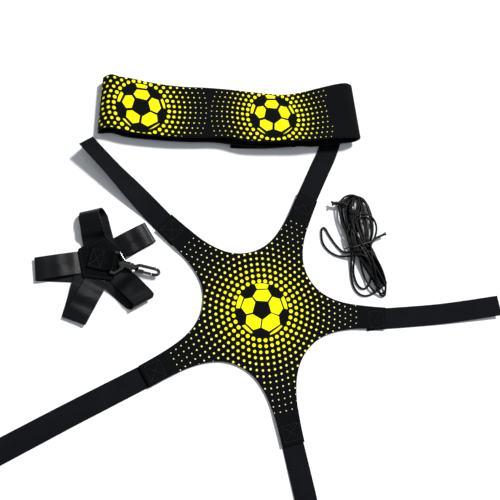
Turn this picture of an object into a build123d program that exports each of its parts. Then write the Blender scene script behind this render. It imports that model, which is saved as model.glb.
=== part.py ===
"""Solo football kick-trainer kit, laid out flat: a five-arm neoprene ball harness, a printed
waist belt, a connector with five webbing loops and a swivel snap hook, and a hank of elastic cord.

Millimetres. Origin: centre of the star-shaped harness panel, on the surface the kit lies on.
+Z up, +X to the right of the layout, +Y away from its near side."""
import os
from math import atan2, cos, degrees, radians, sin, tan

from build123d import *

os.makedirs("parts", exist_ok=True)

# ---- driving dimensions -------------------------------------------------------------------------
webbing_width = 25.0
webbing_thick = 1.4
panel_thick = 3.0

# harness: one entry per arm, going clockwise from the upper left
arm_angles = [140.0, 67.8, -2.0, -77.0, -150.0]
tip_radius = 152.0
bay_radius = 69.4
tip_half_width = 13.0
arm_pull = 46.0            # how far the straight side of an arm runs in from its tip
bay_pull = 31.0            # how wide the round of a bay is
sewn_overlap = 26.0        # strap length sewn under the arm's tip
hinge_gap = 3.2            # bare strap between the tip and the line where it folds

strap_angles = [136.0, 65.6, 7.2, -76.9, -151.9]
strap_lengths = [119.0, 155.0, 152.0, 155.0, 163.0]
strap_end_lifts = [14.0, 0.0, 5.0, 0.0, 0.0]
strap_2_hidden_angle = 79.0    # strap 2 turns a little where it goes under the belt
strap_2_seen_length = 78.0
strap_split = 0.2
hook_tape_thick = 0.9
hook_tape_length = 45.0
hook_tape_width = 22.0

# waist belt: a neoprene band closed into a loop and pressed flat
belt_thick = 3.0
belt_left = (-197.5, 233.0)
belt_angle = 3.5
belt_length = 320.0
belt_far_edge = [(-202, 268.5), (-140, 264), (-43, 266), (34, 271), (80, 289), (102, 296),
                 (127, 295)]
belt_near_edge = [(-202, 197), (-42, 196.6), (49, 202.6), (89, 209), (137, 226)]
overlap_start = 163.0
overlap_length = 75.0
closure_width = 54.0
closure_thick = 1.2

# connector: five webbing loops sewn between two pentagon patches
connector_centre = (-184.1, 49.9)
patch_radius = 27.0
patch_angle = 85.0
patch_thick = 1.6
loop_thick = 1.2
loop_inner = 12.0
loop_angles = [105.0, 33.0, -42.0, -109.0, -168.5]
loop_reach = [55.0, 64.0, 67.0, 73.0, 69.0]
loop_height = [15.0, 7.2, 13.0, 7.2, 7.2]

# swivel snap hook: u runs along the hook from the middle of its bar, v across, w out of its plane
hook_angle = -11.5
hook_roll = 60.0
bar_offset = 14.5
bar_half = 1.5
bar_clearance = 0.2
eye_half_width = 13.2
holder_width = 20.0
barrel_start = 8.4
barrel_end = 18.4
barrel_radius = 4.4
stem_radius = 1.8
stem_clearance = 0.08
hook_rod = 3.7
hook_half_width = 5.0
hook_tip = 50.6
gate_pivot = (26.2, -4.4)
gate_end = 42.7
pin_radius = 0.6

# elastic cord, wound into a loose hank
cord_diameter = 2.5
hank_high = 10.0
hank_low = 6.0
bead_centre = (111.3, 126.6)
bead_radius = 4.0
bead_length = 13.0
tie_width = 2.0
tie_thick = 1.0
waist_centre = (122.0, 84.5)
waist_angle = 20.0
waist_half = 17.5


# ---- shared helpers -----------------------------------------------------------------------------
def polar(radius, angle, centre=(0.0, 0.0)):
    """A plan point at a distance and an angle in degrees from a centre."""
    return (centre[0] + radius * cos(radians(angle)), centre[1] + radius * sin(radians(angle)))


def side_plane(start, angle, height=0.0):
    """A vertical plane whose x runs along a plan direction and whose y is up."""
    along = (cos(radians(angle)), sin(radians(angle)), 0)
    across = (sin(radians(angle)), -cos(radians(angle)), 0)
    return Plane(origin=(start[0], start[1], height), x_dir=along, z_dir=across)


def flat_plane(start, angle, height):
    """A level plane turned to a plan direction."""
    return Plane(origin=(start[0], start[1], height), x_dir=(cos(radians(angle)), sin(radians(angle)), 0),
                 z_dir=(0, 0, 1))


def save(builder, name):
    builder.part.label = name
    export_step(builder.part, f"parts/{name}.step")


tips = [polar(tip_radius, angle) for angle in arm_angles]
fold_points = [polar(hinge_gap, angle, tip) for angle, tip in zip(strap_angles, tips)]

# ---- harness panel: one neoprene star, recessed underneath where the straps are sewn -------------
strap_roots = []
for number, (tip, angle) in enumerate(zip(tips, strap_angles), start=1):
    with BuildPart() as strap_root:
        with BuildSketch(flat_plane(tip, angle, 0)):
            with Locations((hinge_gap - (sewn_overlap + hinge_gap) / 2, 0)):
                Rectangle(sewn_overlap + hinge_gap, webbing_width)
        extrude(amount=webbing_thick)
    save(strap_root, f"strap_{number}_sewn_end")
    strap_roots.append(strap_root.part)

with BuildPart() as harness_panel:
    with BuildSketch():
        with BuildLine():
            for i, angle in enumerate(arm_angles):
                following = arm_angles[(i + 1) % 5]
                if following > angle:
                    following -= 360
                right_corner = polar(tip_half_width, angle - 90, tips[i])
                left_corner = polar(tip_half_width, following + 90, tips[(i + 1) % 5])
                bay_angle = (angle + following) / 2
                bay = polar(bay_radius, bay_angle)
                Line(polar(tip_half_width, angle + 90, tips[i]), right_corner)
                Bezier(right_corner, polar(arm_pull, angle + 180, right_corner),
                       polar(bay_pull, bay_angle + 90, bay), bay)
                Bezier(bay, polar(bay_pull, bay_angle - 90, bay),
                       polar(arm_pull, following + 180, left_corner), left_corner)
        make_face()
    extrude(amount=panel_thick)
    for strap_root in strap_roots:
        add(strap_root, mode=Mode.SUBTRACT)
save(harness_panel, "harness_panel")


# ---- free straps and the hook tape sewn under their ends ---------------------------------------
def strap_path(length, lift):
    """Middle line of a strap's thickness: flat, then up onto its hook tape, then its raised end."""
    mid = webbing_thick / 2
    on_tape = mid + hook_tape_thick
    tape_start = length - hook_tape_length - 4
    if lift:
        return [(strap_split, mid), (length * 0.45, mid), (length * 0.72, on_tape + lift * 0.35),
                (length, on_tape + lift)]
    return [(strap_split, mid), (tape_start - 20, mid), (tape_start - 6, on_tape), (length, on_tape)]


for number in (1, 3, 4, 5):
    start = fold_points[number - 1]
    angle = strap_angles[number - 1]
    length = strap_lengths[number - 1]
    lift = strap_end_lifts[number - 1]
    points = strap_path(length, lift)
    with BuildPart() as strap:
        with BuildSketch(side_plane(start, angle)):
            with BuildLine():
                FilletPolyline(*points, radius=30)
            trace(line_width=webbing_thick)
        extrude(amount=webbing_width / 2, both=True)
    save(strap, f"strap_{number}")

    run_start, run_end = points[-2], points[-1]
    slope = degrees(atan2(run_end[1] - run_start[1], run_end[0] - run_start[0]))
    below = (webbing_thick + hook_tape_thick) / 2
    middle = length - 4 - hook_tape_length / 2 if not lift else length - 3 - 16
    tape = hook_tape_length if not lift else 32
    with BuildPart() as hook_tape:
        with BuildSketch(side_plane(start, angle)):
            centre_height = run_end[1] - (run_end[0] - middle) * tan(radians(slope))
            tape_middle = (middle + below * sin(radians(slope)),
                           centre_height - below * cos(radians(slope)))
            with Locations(tape_middle):
                Rectangle(tape, hook_tape_thick, rotation=slope)
        extrude(amount=hook_tape_width / 2, both=True)
    save(hook_tape, f"strap_{number}_hook_tape")

# strap 2 lies flat and runs on under the belt
strap_2_turn = polar(strap_2_seen_length, strap_angles[1], fold_points[1])
strap_2_end = polar(strap_lengths[1] - strap_2_seen_length, strap_2_hidden_angle, strap_2_turn)
with BuildPart() as strap_2:
    with BuildSketch():
        with BuildLine():
            FilletPolyline(polar(strap_split, strap_angles[1], fold_points[1]), strap_2_turn, strap_2_end,
                           radius=120)
        trace(line_width=webbing_width)
    extrude(amount=webbing_thick)
save(strap_2, "strap_2")

with BuildPart() as hook_tape:
    with BuildSketch(flat_plane(strap_2_end, strap_2_hidden_angle, webbing_thick)):
        with Locations((-4 - hook_tape_length / 2, 0)):
            Rectangle(hook_tape_length, hook_tape_width)
    extrude(amount=hook_tape_thick)
save(hook_tape, "strap_2_hook_tape")

# ---- waist belt -----------------------------------------------------------------------------------
half = belt_thick / 2
lap_low = half + belt_thick + 2 * closure_thick
belt_line = [
    (overlap_start - 11, half), (247, half), (264, half + 3.1), (belt_length - half, half + 3.1),
    (belt_length - half, 21), (232, 15.5), (100, 13.8), (half, 13.8), (half, half), (28, half),
    (44, half + 2.9), (140, half + 2.9), (158, lap_low), (overlap_start + overlap_length + 4, lap_low),
]
belt_radii = [20, 20, 7.4, 7.4, 60, 60, 5.8, 5.8, 20, 20, 20, 20]
with BuildPart() as belt_band:
    with BuildSketch(side_plane(belt_left, belt_angle)):
        with BuildLine():
            FilletPolyline(*belt_line, radius=belt_radii)
        trace(line_width=belt_thick)
    extrude(amount=70, both=True)
    with BuildSketch():
        with BuildLine():
            Spline(*belt_far_edge)
            Line(belt_far_edge[-1], belt_near_edge[-1])
            Spline(*belt_near_edge)
            Line(belt_near_edge[0], belt_far_edge[0])
        make_face()
    extrude(amount=30, mode=Mode.INTERSECT)
save(belt_band, "belt_band")

for name, height in (("belt_loop_tape", belt_thick), ("belt_hook_tape", belt_thick + closure_thick)):
    with BuildPart() as closure:
        with BuildSketch(flat_plane(belt_left, belt_angle, height)):
            with Locations((overlap_start + overlap_length / 2, -6)):
                Rectangle(overlap_length, closure_width)
        extrude(amount=closure_thick)
    save(closure, name)

with BuildPart() as belt_anchor_loop:
    with BuildSketch(flat_plane(belt_left, belt_angle, 0.1)):
        with Locations((92, -2)):
            Rectangle(34, webbing_width)
    extrude(amount=2 * webbing_thick)
    fillet(belt_anchor_loop.edges().filter_by(Axis.Z).sort_by(Axis.X)[-2:], 2)
save(belt_anchor_loop, "belt_anchor_loop")

# ---- connector patches and loops -----------------------------------------------------------------
loops_low = patch_thick
loops_high = patch_thick + 2 * loop_thick
holder_low = loops_high + patch_thick

for name, height in (("connector_base_patch", 0), ("connector_top_patch", loops_high)):
    with BuildPart() as patch:
        with BuildSketch(flat_plane(connector_centre, patch_angle, height)):
            RegularPolygon(patch_radius, 5)
        extrude(amount=patch_thick)
        fillet(patch.edges().filter_by(Axis.Z), 2)
    save(patch, name)

for number, (angle, reach, height) in enumerate(zip(loop_angles, loop_reach, loop_height), start=1):
    clear = patch_radius + 0.4
    foot = clear + 4
    outer_round = height / 2
    centre = reach - outer_round
    shoulder = min(foot + height * 0.6, centre - 1)
    with BuildPart() as loop:
        with BuildSketch(side_plane(connector_centre, angle)):
            with BuildLine():
                Polyline((centre, height), (shoulder, height), (clear, loops_high), (loop_inner, loops_high),
                         (loop_inner, loops_low), (clear, loops_low), (foot, 0), (centre, 0))
                ThreePointArc((centre, 0), (reach, outer_round), (centre, height))
            make_face()
            with BuildLine():
                Polyline((centre, height - loop_thick), (shoulder + 0.7, height - loop_thick),
                         (clear + 1.6, (loops_low + loops_high) / 2), (foot + 0.5, loop_thick),
                         (centre, loop_thick))
                ThreePointArc((centre, loop_thick), (reach - loop_thick, outer_round),
                              (centre, height - loop_thick))
            make_face(mode=Mode.SUBTRACT)
        extrude(amount=webbing_width / 2, both=True)
        with BuildSketch(flat_plane(connector_centre, angle, 0)):
            full = webbing_width / 2
            with BuildLine():
                Polyline((loop_inner, -6), (22.5, -full), (reach + 1, -full), (reach + 1, full),
                         (22.5, full), (loop_inner, 6), (loop_inner, -6))
            make_face()
        extrude(amount=40, mode=Mode.INTERSECT)
    save(loop, f"connector_loop_{number}")

# webbing that holds the hook's bar: folded round it and sewn down on the top patch
bar_height = holder_low + loop_thick + bar_half + bar_clearance
bore = bar_half + bar_clearance
wrap = bore + loop_thick
with BuildPart() as hook_holder:
    with BuildSketch(side_plane(connector_centre, hook_angle)):
        with BuildLine():
            Polyline((bar_offset, bar_height + wrap), (bar_offset - 9, holder_low + 2 * loop_thick),
                     (-13, holder_low + 2 * loop_thick), (-13, holder_low), (bar_offset, holder_low))
            ThreePointArc((bar_offset, holder_low), (bar_offset + wrap, bar_height),
                          (bar_offset, bar_height + wrap))
        make_face()
        with Locations((bar_offset, bar_height)):
            Circle(bore, mode=Mode.SUBTRACT)
    extrude(amount=holder_width / 2, both=True)
save(hook_holder, "hook_holder_webbing")

# ---- swivel snap hook ------------------------------------------------------------------------------
bar_point = polar(bar_offset, hook_angle, connector_centre)
hook_u = Vector(cos(radians(hook_angle)), sin(radians(hook_angle)), 0)
level_v = Vector(-sin(radians(hook_angle)), cos(radians(hook_angle)), 0)
hook_v = level_v * cos(radians(hook_roll)) + Vector(0, 0, 1) * sin(radians(hook_roll))
hook_w = hook_u.cross(hook_v)
hook_origin = Vector(bar_point[0], bar_point[1], bar_height)
eye_plane = Plane(origin=hook_origin, x_dir=hook_u, z_dir=(0, 0, 1))
hook_plane = Plane(origin=hook_origin, x_dir=hook_u, z_dir=hook_w)
across_plane = Plane(origin=hook_origin, x_dir=hook_v, z_dir=hook_u)

with BuildPart() as swivel_eye:
    with BuildSketch(eye_plane):
        with BuildLine():
            Polyline((-bar_half, -eye_half_width), (4.6, -eye_half_width), (13, -barrel_radius),
                     (13, barrel_radius), (4.6, eye_half_width), (-bar_half, eye_half_width),
                     (-bar_half, -eye_half_width))
        make_face()
        with BuildLine():
            inside = eye_half_width - 2 * bar_half
            Polyline((bar_half, -inside), (3.6, -inside), (8.6, -barrel_radius), (8.6, barrel_radius),
                     (3.6, inside), (bar_half, inside), (bar_half, -inside))
        make_face(mode=Mode.SUBTRACT)
    extrude(amount=bar_half, both=True)
    fillet(swivel_eye.edges().filter_by(GeomType.LINE).filter_by(Plane.XY), 1.1)
    with BuildSketch(across_plane.offset(barrel_start)):
        Circle(barrel_radius)
    extrude(amount=barrel_end - barrel_start)
    with BuildSketch(across_plane.offset(barrel_start + 4.6)):
        Circle(barrel_radius)
        Circle(barrel_radius - 0.5, mode=Mode.SUBTRACT)
    extrude(amount=1.2, mode=Mode.SUBTRACT)
    with BuildSketch(across_plane.offset(barrel_start - 3)):
        Circle(stem_radius + stem_clearance)
    extrude(amount=barrel_end - barrel_start + 6, mode=Mode.SUBTRACT)
save(swivel_eye, "swivel_eye")

rod = hook_rod / 2
with BuildPart() as hook_body:
    with BuildSketch(across_plane.offset(barrel_start - 2.2)):
        Circle(2.8)
    extrude(amount=2.0)
    with BuildSketch(across_plane.offset(barrel_start - 1)):
        Circle(stem_radius)
    extrude(amount=barrel_end - barrel_start + 2)
    with BuildSketch(across_plane.offset(barrel_end + 0.2)):
        Circle(4.0)
    extrude(amount=3.0)
    with BuildSketch(across_plane.offset(barrel_end + 3.2)):
        Circle(3.1)
    extrude(amount=3.0)
    with BuildLine(hook_plane) as hook_path:
        FilletPolyline((22.7, 0), (28.2, hook_half_width), (hook_tip, hook_half_width),
                       (hook_tip, -hook_half_width), (gate_end + 0.4, -hook_half_width),
                       radius=[3, 4.9, 4.9])
    with BuildSketch(Plane(origin=hook_path.line @ 0, z_dir=hook_path.line % 0)):
        Circle(rod)
    sweep()
    with BuildSketch(hook_plane.offset(-1.2)):
        with BuildLine():
            Polyline((21.8, 0), (27.8, 1.5), (27.8, -5.6), (24.6, -5.6), (21.8, -2.5), (21.8, 0))
        make_face()
        with Locations(gate_pivot):
            Circle(pin_radius, mode=Mode.SUBTRACT)
    extrude(amount=1.2)
save(hook_body, "hook_body")

with BuildPart() as gate_pin:
    with BuildSketch(hook_plane.offset(-2.1)):
        with Locations(gate_pivot):
            Circle(pin_radius)
    extrude(amount=4.2)
save(gate_pin, "gate_pin")

cheek_hole = pin_radius + 0.06
with BuildPart() as hook_gate:
    with BuildSketch(hook_plane.offset(-1.9)):
        with Locations((gate_pivot[0] + 4, gate_pivot[1] - 0.2)):
            Rectangle(8, 3.0)
        with Locations(gate_pivot):
            Circle(1.7)
    extrude(amount=3.8)
    with BuildSketch(hook_plane.offset(-1.4)):
        with Locations(gate_pivot):
            Rectangle(5.2, 9)
    extrude(amount=2.8, mode=Mode.SUBTRACT)
    with BuildSketch(hook_plane.offset(-1.2)):
        with Locations(((gate_pivot[0] + 4 + gate_end) / 2, -hook_half_width)):
            Rectangle(gate_end - gate_pivot[0] - 4, 2.4)
    extrude(amount=2.4)
    with BuildSketch(hook_plane.offset(-3)):
        with Locations(gate_pivot):
            Circle(cheek_hole)
    extrude(amount=6, mode=Mode.SUBTRACT)
save(hook_gate, "hook_gate")

with BuildPart() as gate_spring:
    with BuildSketch(hook_plane.offset(0.2)):
        with Locations(gate_pivot):
            Circle(1.25)
            Circle(pin_radius + 0.15, mode=Mode.SUBTRACT)
    extrude(amount=0.9)
save(gate_spring, "gate_spring")

# ---- elastic cord hank, its bead and twist ties ---------------------------------------------------
hank_outline = [(98, 133), (105, 144), (116, 150), (127, 147), (139, 122), (144, 101), (142, 85),
                (156, 38), (151, 27), (136, 25), (123, 19), (112, 26), (108, 46), (108, 66), (96, 104),
                (95, 120)]
loose_loop = [(108, 84), (91, 90), (77, 104), (70, 98), (76, 80), (88, 70), (108, 65)]
waist_plane = side_plane(waist_centre, waist_angle)


def tie_ring(half_width, low, high, wall):
    """A rounded ring of tie wire in the current sketch, seen along the strands it holds."""
    with Locations((0, (low + high) / 2)):
        RectangleRounded(2 * half_width + 2 * wall, high - low + 2 * wall, 1)
        Rectangle(2 * half_width, high - low, mode=Mode.SUBTRACT)


with BuildPart() as elastic_cord_hank:
    with BuildSketch():
        with BuildLine():
            Spline(*hank_outline, periodic=True)
        make_face()
    extrude(amount=hank_high)
    with BuildSketch(Plane.XY.offset(hank_low)):
        with Locations((115, 135)):
            Rectangle(70, 50)
    extrude(amount=hank_high, mode=Mode.SUBTRACT)
    with BuildSketch(Plane.XY.offset(hank_low)):
        with Locations((110, 35)):
            Rectangle(40, 60)
    extrude(amount=hank_high, mode=Mode.SUBTRACT)
    with BuildSketch():
        with BuildLine():
            Spline(*loose_loop, periodic=True)
        make_face()
    extrude(amount=cord_diameter + 0.5)
    with BuildSketch(waist_plane):
        Rectangle(3 * waist_half, 60)
        with Locations((0, hank_high / 2)):
            Rectangle(2 * waist_half - 0.4, hank_high - 3.0, mode=Mode.SUBTRACT)
    extrude(amount=tie_width / 2 + 0.3, both=True, mode=Mode.SUBTRACT)
save(elastic_cord_hank, "elastic_cord_hank")

with BuildPart() as twist_tie_waist:
    with BuildSketch(waist_plane):
        tie_ring(waist_half, 1.3, hank_high - 1.3, tie_thick)
        with Locations((waist_half + 9.5, hank_high / 2 + 1)):
            Rectangle(18, 1.6, rotation=8)
    extrude(amount=tie_width / 2, both=True)
save(twist_tie_waist, "twist_tie_waist")

bead_height = hank_low + bead_radius + 0.2
with BuildPart() as cord_bead:
    with BuildSketch(Plane(origin=(*bead_centre, bead_height), x_dir=(0, 1, 0), z_dir=(0, 0, 1))):
        Ellipse(bead_length / 2, bead_radius)
        with Locations((0, -bead_radius)):
            Rectangle(2 * bead_length, 2 * bead_radius, mode=Mode.SUBTRACT)
    revolve(axis=Axis((*bead_centre, bead_height), (0, 1, 0)))
    bore_start = (bead_centre[0], bead_centre[1] - bead_length, bead_height)
    with BuildSketch(Plane(origin=bore_start, z_dir=(0, 1, 0))):
        Circle(cord_diameter / 2 + 0.05)
    extrude(amount=2 * bead_length, mode=Mode.SUBTRACT)
save(cord_bead, "cord_bead")

with BuildPart() as twist_tie_top:
    with BuildSketch(side_plane((99.5, 133.4), 180)):
        with Locations((10.5, hank_low + 1.6)):
            Rectangle(16, 1.6, rotation=-4)
        with Locations((-1, hank_low + 0.9)):
            Rectangle(9, 1.4)
    extrude(amount=tie_width / 2, both=True)
save(twist_tie_top, "twist_tie_top")
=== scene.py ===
# Looks of a solo football kick-trainer kit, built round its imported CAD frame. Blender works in
# metres.
import random
from math import cos, hypot, pi, radians, sin, tau

import bpy
from mathutils import Matrix, Vector


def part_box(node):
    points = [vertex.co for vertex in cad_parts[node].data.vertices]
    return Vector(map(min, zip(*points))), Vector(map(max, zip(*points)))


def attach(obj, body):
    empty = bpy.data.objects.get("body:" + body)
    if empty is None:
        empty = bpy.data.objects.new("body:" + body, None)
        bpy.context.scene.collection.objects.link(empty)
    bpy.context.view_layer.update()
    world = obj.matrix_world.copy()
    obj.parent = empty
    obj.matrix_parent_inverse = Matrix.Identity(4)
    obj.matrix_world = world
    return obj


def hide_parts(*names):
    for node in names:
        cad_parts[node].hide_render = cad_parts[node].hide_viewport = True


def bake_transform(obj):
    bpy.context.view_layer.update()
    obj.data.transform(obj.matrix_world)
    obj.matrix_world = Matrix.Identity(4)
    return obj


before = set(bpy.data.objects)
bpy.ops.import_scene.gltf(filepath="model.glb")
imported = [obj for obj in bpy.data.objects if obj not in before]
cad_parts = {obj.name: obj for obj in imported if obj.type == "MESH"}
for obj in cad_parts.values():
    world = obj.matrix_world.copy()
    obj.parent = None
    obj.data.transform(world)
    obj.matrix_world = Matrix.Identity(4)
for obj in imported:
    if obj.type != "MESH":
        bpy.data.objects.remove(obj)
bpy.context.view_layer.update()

MM = 0.001
scene = bpy.context.scene


# ---- camera, light and floor ----
CAMERA_PLACE = (-0.1648, -0.0970, 0.6694)
CAMERA_RIGHT = Vector((0.9757, 0.0, 0.2193))
CAMERA_UP = Vector((-0.0522, 0.9713, 0.2321))
LENS = 43.2
SENSOR = 36.0

camera = bpy.data.objects.new("camera", bpy.data.cameras.new("camera"))
scene.collection.objects.link(camera)
camera_back = CAMERA_RIGHT.cross(CAMERA_UP)
camera.matrix_world = Matrix.Translation(CAMERA_PLACE) @ Matrix(
    (CAMERA_RIGHT, CAMERA_UP, camera_back)).transposed().to_4x4()
camera.data.lens = LENS
camera.data.sensor_width = SENSOR
camera.data.clip_start = 0.01
scene.camera = camera
scene.view_settings.view_transform = "Standard"

SUN_FROM = Vector((0.455, 0.455, 0.766))
SUN_STRENGTH = 4.1
SUN_ANGLE = radians(9)
SKY_HIGH = (0.40, 0.425, 0.46, 1)
SKY_LOW = (0.25, 0.26, 0.275, 1)

sun = bpy.data.objects.new("key_light", bpy.data.lights.new("key_light", "SUN"))
sun.data.energy = SUN_STRENGTH
sun.data.angle = SUN_ANGLE
sun.rotation_euler = SUN_FROM.to_track_quat("Z", "Y").to_euler()
scene.collection.objects.link(sun)

world = bpy.data.worlds.new("studio")
scene.world = world
world.use_nodes = True
sky = world.node_tree
sky_place = sky.nodes.new("ShaderNodeTexCoord")
sky_split = sky.nodes.new("ShaderNodeSeparateXYZ")
sky_ramp = sky.nodes.new("ShaderNodeValToRGB")
sky_ramp.color_ramp.elements[0].color = SKY_LOW
sky_ramp.color_ramp.elements[1].color = SKY_HIGH
sky.links.new(sky_place.outputs["Generated"], sky_split.inputs[0])
sky.links.new(sky_split.outputs[2], sky_ramp.inputs[0])
sky.links.new(sky_ramp.outputs[0], sky.nodes["Background"].inputs["Color"])


# ---- shader helpers ----
class Field:
    """A number that varies over a surface, with + - * / and the Math node's other operations."""

    def __init__(self, tree, socket):
        self.tree = tree
        self.socket = socket

    def op(self, operation, *others, clamp=False):
        node = self.tree.nodes.new("ShaderNodeMath")
        node.operation = operation
        node.use_clamp = clamp
        for place, value in zip(node.inputs, (self, *others)):
            if isinstance(value, Field):
                self.tree.links.new(value.socket, place)
            else:
                place.default_value = value
        return Field(self.tree, node.outputs[0])

    def __add__(self, other):
        return self.op("ADD", other)

    def __sub__(self, other):
        return self.op("SUBTRACT", other)

    def __rsub__(self, other):
        return self.op("MULTIPLY_ADD", -1.0, other)

    def __mul__(self, other):
        return self.op("MULTIPLY", other)

    def __truediv__(self, other):
        return self.op("DIVIDE", other)

    __radd__ = __add__
    __rmul__ = __mul__

    def above(self, limit, soft):
        """0 below a limit, 1 above it, over a soft step."""
        return (self - limit).op("MULTIPLY_ADD", 1 / soft, 0.5, clamp=True)

    def wave(self, pitch):
        """A sine of that pitch, from -1 to 1."""
        return (self * (tau / pitch)).op("SINE")


class Finish:
    """A material with a Principled surface and short calls for its fields and colours."""

    def __init__(self, name, **surface):
        self.material = bpy.data.materials.new(name)
        self.material.use_nodes = True
        self.tree = self.material.node_tree
        self.surface = self.tree.nodes["Principled BSDF"]
        self.set(**surface)

    def set(self, **surface):
        """Sets sockets by name: a number or colour is set on the socket, a Field is linked to it."""
        for name, value in surface.items():
            socket = self.surface.inputs[name.replace("_", " ")]
            if isinstance(value, Field):
                self.tree.links.new(value.socket, socket)
            elif isinstance(value, bpy.types.NodeSocket):
                self.tree.links.new(value, socket)
            else:
                socket.default_value = value

    def cloth(self):
        """How far along and across the cloth a point is, in millimetres, and which side it is on."""
        node = self.tree.nodes.new("ShaderNodeAttribute")
        node.attribute_name = "cloth"
        split = self.tree.nodes.new("ShaderNodeSeparateXYZ")
        self.tree.links.new(node.outputs["Vector"], split.inputs[0])
        return [Field(self.tree, socket) for socket in split.outputs]

    def place(self):
        """Object coordinates, as a socket."""
        return self.tree.nodes.new("ShaderNodeTexCoord").outputs["Object"]

    def noise(self, scale, detail=3.0):
        node = self.tree.nodes.new("ShaderNodeTexNoise")
        node.inputs["Scale"].default_value = scale
        node.inputs["Detail"].default_value = detail
        self.tree.links.new(self.place(), node.inputs["Vector"])
        return Field(self.tree, node.outputs["Fac"])

    def mix(self, share, first, second):
        """A colour between two colours or sockets, by a Field."""
        node = self.tree.nodes.new("ShaderNodeMix")
        node.data_type = "RGBA"
        self.tree.links.new(share.socket, node.inputs["Factor"])
        for place, value in (("A", first), ("B", second)):
            socket = [s for s in node.inputs if s.name == place and s.type == "RGBA"][0]
            if isinstance(value, bpy.types.NodeSocket):
                self.tree.links.new(value, socket)
            else:
                socket.default_value = (*value, 1)
        return [s for s in node.outputs if s.type == "RGBA"][0]

    def bump(self, height, strength, distance):
        node = self.tree.nodes.new("ShaderNodeBump")
        node.inputs["Strength"].default_value = strength
        node.inputs["Distance"].default_value = distance
        self.tree.links.new(height.socket, node.inputs["Height"])
        self.tree.links.new(node.outputs["Normal"], self.surface.inputs["Normal"])


# ---- materials ----
# the printed ball: clockwise corners of the patches round its black pentagon, and of those at its rim
PATCHES = [
    [(-6.6, 23.2), (6.6, 24.5), (10.8, 17.7), (6.1, 10.6), (-7.0, 11.2), (-11.1, 15.9)],
    [(-20.8, 12.4), (-12.2, 14.4), (-8.4, 9.1), (-11.6, -2.7), (-19.0, -4.7), (-24.8, 2.6)],
    [(12.2, 16.2), (20.8, 14.0), (24.6, 2.9), (19.4, -4.6), (10.6, -1.8), (7.6, 9.0)],
    [(-18.4, -6.7), (-11.4, -4.7), (-1.2, -10.2), (-2.6, -19.9), (-10.6, -22.6), (-19.2, -15.3)],
    [(10.6, -3.0), (19.6, -6.3), (20.8, -15.4), (8.0, -23.8), (-0.8, -19.9), (0.4, -10.8)],
]
RIM_PATCHES = [
    [(-9.6, 31.5), (8.2, 32.0), (6.0, 25.7), (-6.4, 24.9)],
    [(-29.4, 19.1), (-22.2, 14.1), (-26.6, 1.7), (-34.0, 1.5)],
    [(22.6, 14.3), (26.2, 18.7), (33.0, 1.4), (26.6, 3.2)],
    [(-27.0, -18.9), (-20.0, -17.1), (-11.8, -25.1), (-12.9, -31.5)],
    [(22.2, -16.5), (27.0, -19.4), (12.4, -31.1), (8.8, -26.6)],
]
RIM_CENTRE = (-0.25, 1.15)
RIM_RADIUS = 30.3
FIRST_RING = 34.3
RING_PITCH = 6.7
FIRST_RING_DOTS = 30
DOTS_MORE_EACH_RING = 6
FIRST_DOT = 4.45
LAST_DOT = 1.15
DOT_SHRINK_POWER = 1.7
DOTS_PALE_FROM = 50.0
DOTS_PALE_OVER = 60.0
INK_EDGE = 0.35
NO_PRINT_END = 1e4
PRINT_YELLOW = (1.0, 0.95, 0.0)
PRINT_PALE = (0.93, 0.92, 0.50)
NEOPRENE_BLACK = (0.0016, 0.0018, 0.0022)
NEOPRENE_WORN = (0.0034, 0.0036, 0.0042)


def within(x, y, corners):
    """Field of the distance inside a convex outline with clockwise corners."""
    inside = None
    for (ax, ay), (bx, by) in zip(corners, corners[1:] + corners[:1]):
        length = hypot(bx - ax, by - ay)
        nx, ny = (by - ay) / length, (ax - bx) / length
        line = (x * nx).op("ADD", y.op("MULTIPLY_ADD", ny, -(ax * nx + ay * ny)))
        inside = line if inside is None else inside.op("MINIMUM", line)
    return inside


def ball_print(x, y, last_ring, twist, inset):
    """Fields (ink, radius) of one ball and its rings of dots, from x and y in ball millimetres.
    inset is how much smaller its patches are all round."""
    patches = None
    for corners in RIM_PATCHES:
        patch = within(x, y, corners)
        patches = patch if patches is None else patches.op("MAXIMUM", patch)
    rim_x, rim_y = x - RIM_CENTRE[0], y - RIM_CENTRE[1]
    patches = patches.op("MINIMUM", RIM_RADIUS - (rim_x * rim_x + rim_y * rim_y).op("SQRT"))
    for corners in PATCHES:
        patches = patches.op("MAXIMUM", within(x, y, corners))
    patches = patches - inset

    radius = (x * x + y * y).op("SQRT")
    from_top = x.op("ARCTAN2", y) * -1.0
    ring = ((radius - FIRST_RING) * (1 / RING_PITCH)).op("ROUND").op("MAXIMUM", 0.0)
    dots = ring * DOTS_MORE_EACH_RING + FIRST_RING_DOTS
    step = from_top * (1 / tau) * dots - (ring * twist + 0.5)
    round_step = step - step.op("ROUND")
    along = round_step * radius * tau / dots
    out = radius - (ring * RING_PITCH + FIRST_RING)
    inward = (last_ring - radius).op("MULTIPLY", 1 / (last_ring - FIRST_RING), clamp=True)
    size = inward.op("POWER", DOT_SHRINK_POWER) * ((FIRST_DOT - LAST_DOT) / 2) + LAST_DOT / 2
    dot = size - (along * along + out * out).op("SQRT")
    dot = dot.op("MINIMUM", last_ring + RING_PITCH / 2 - radius)
    return patches.op("MAXIMUM", dot), radius


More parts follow.
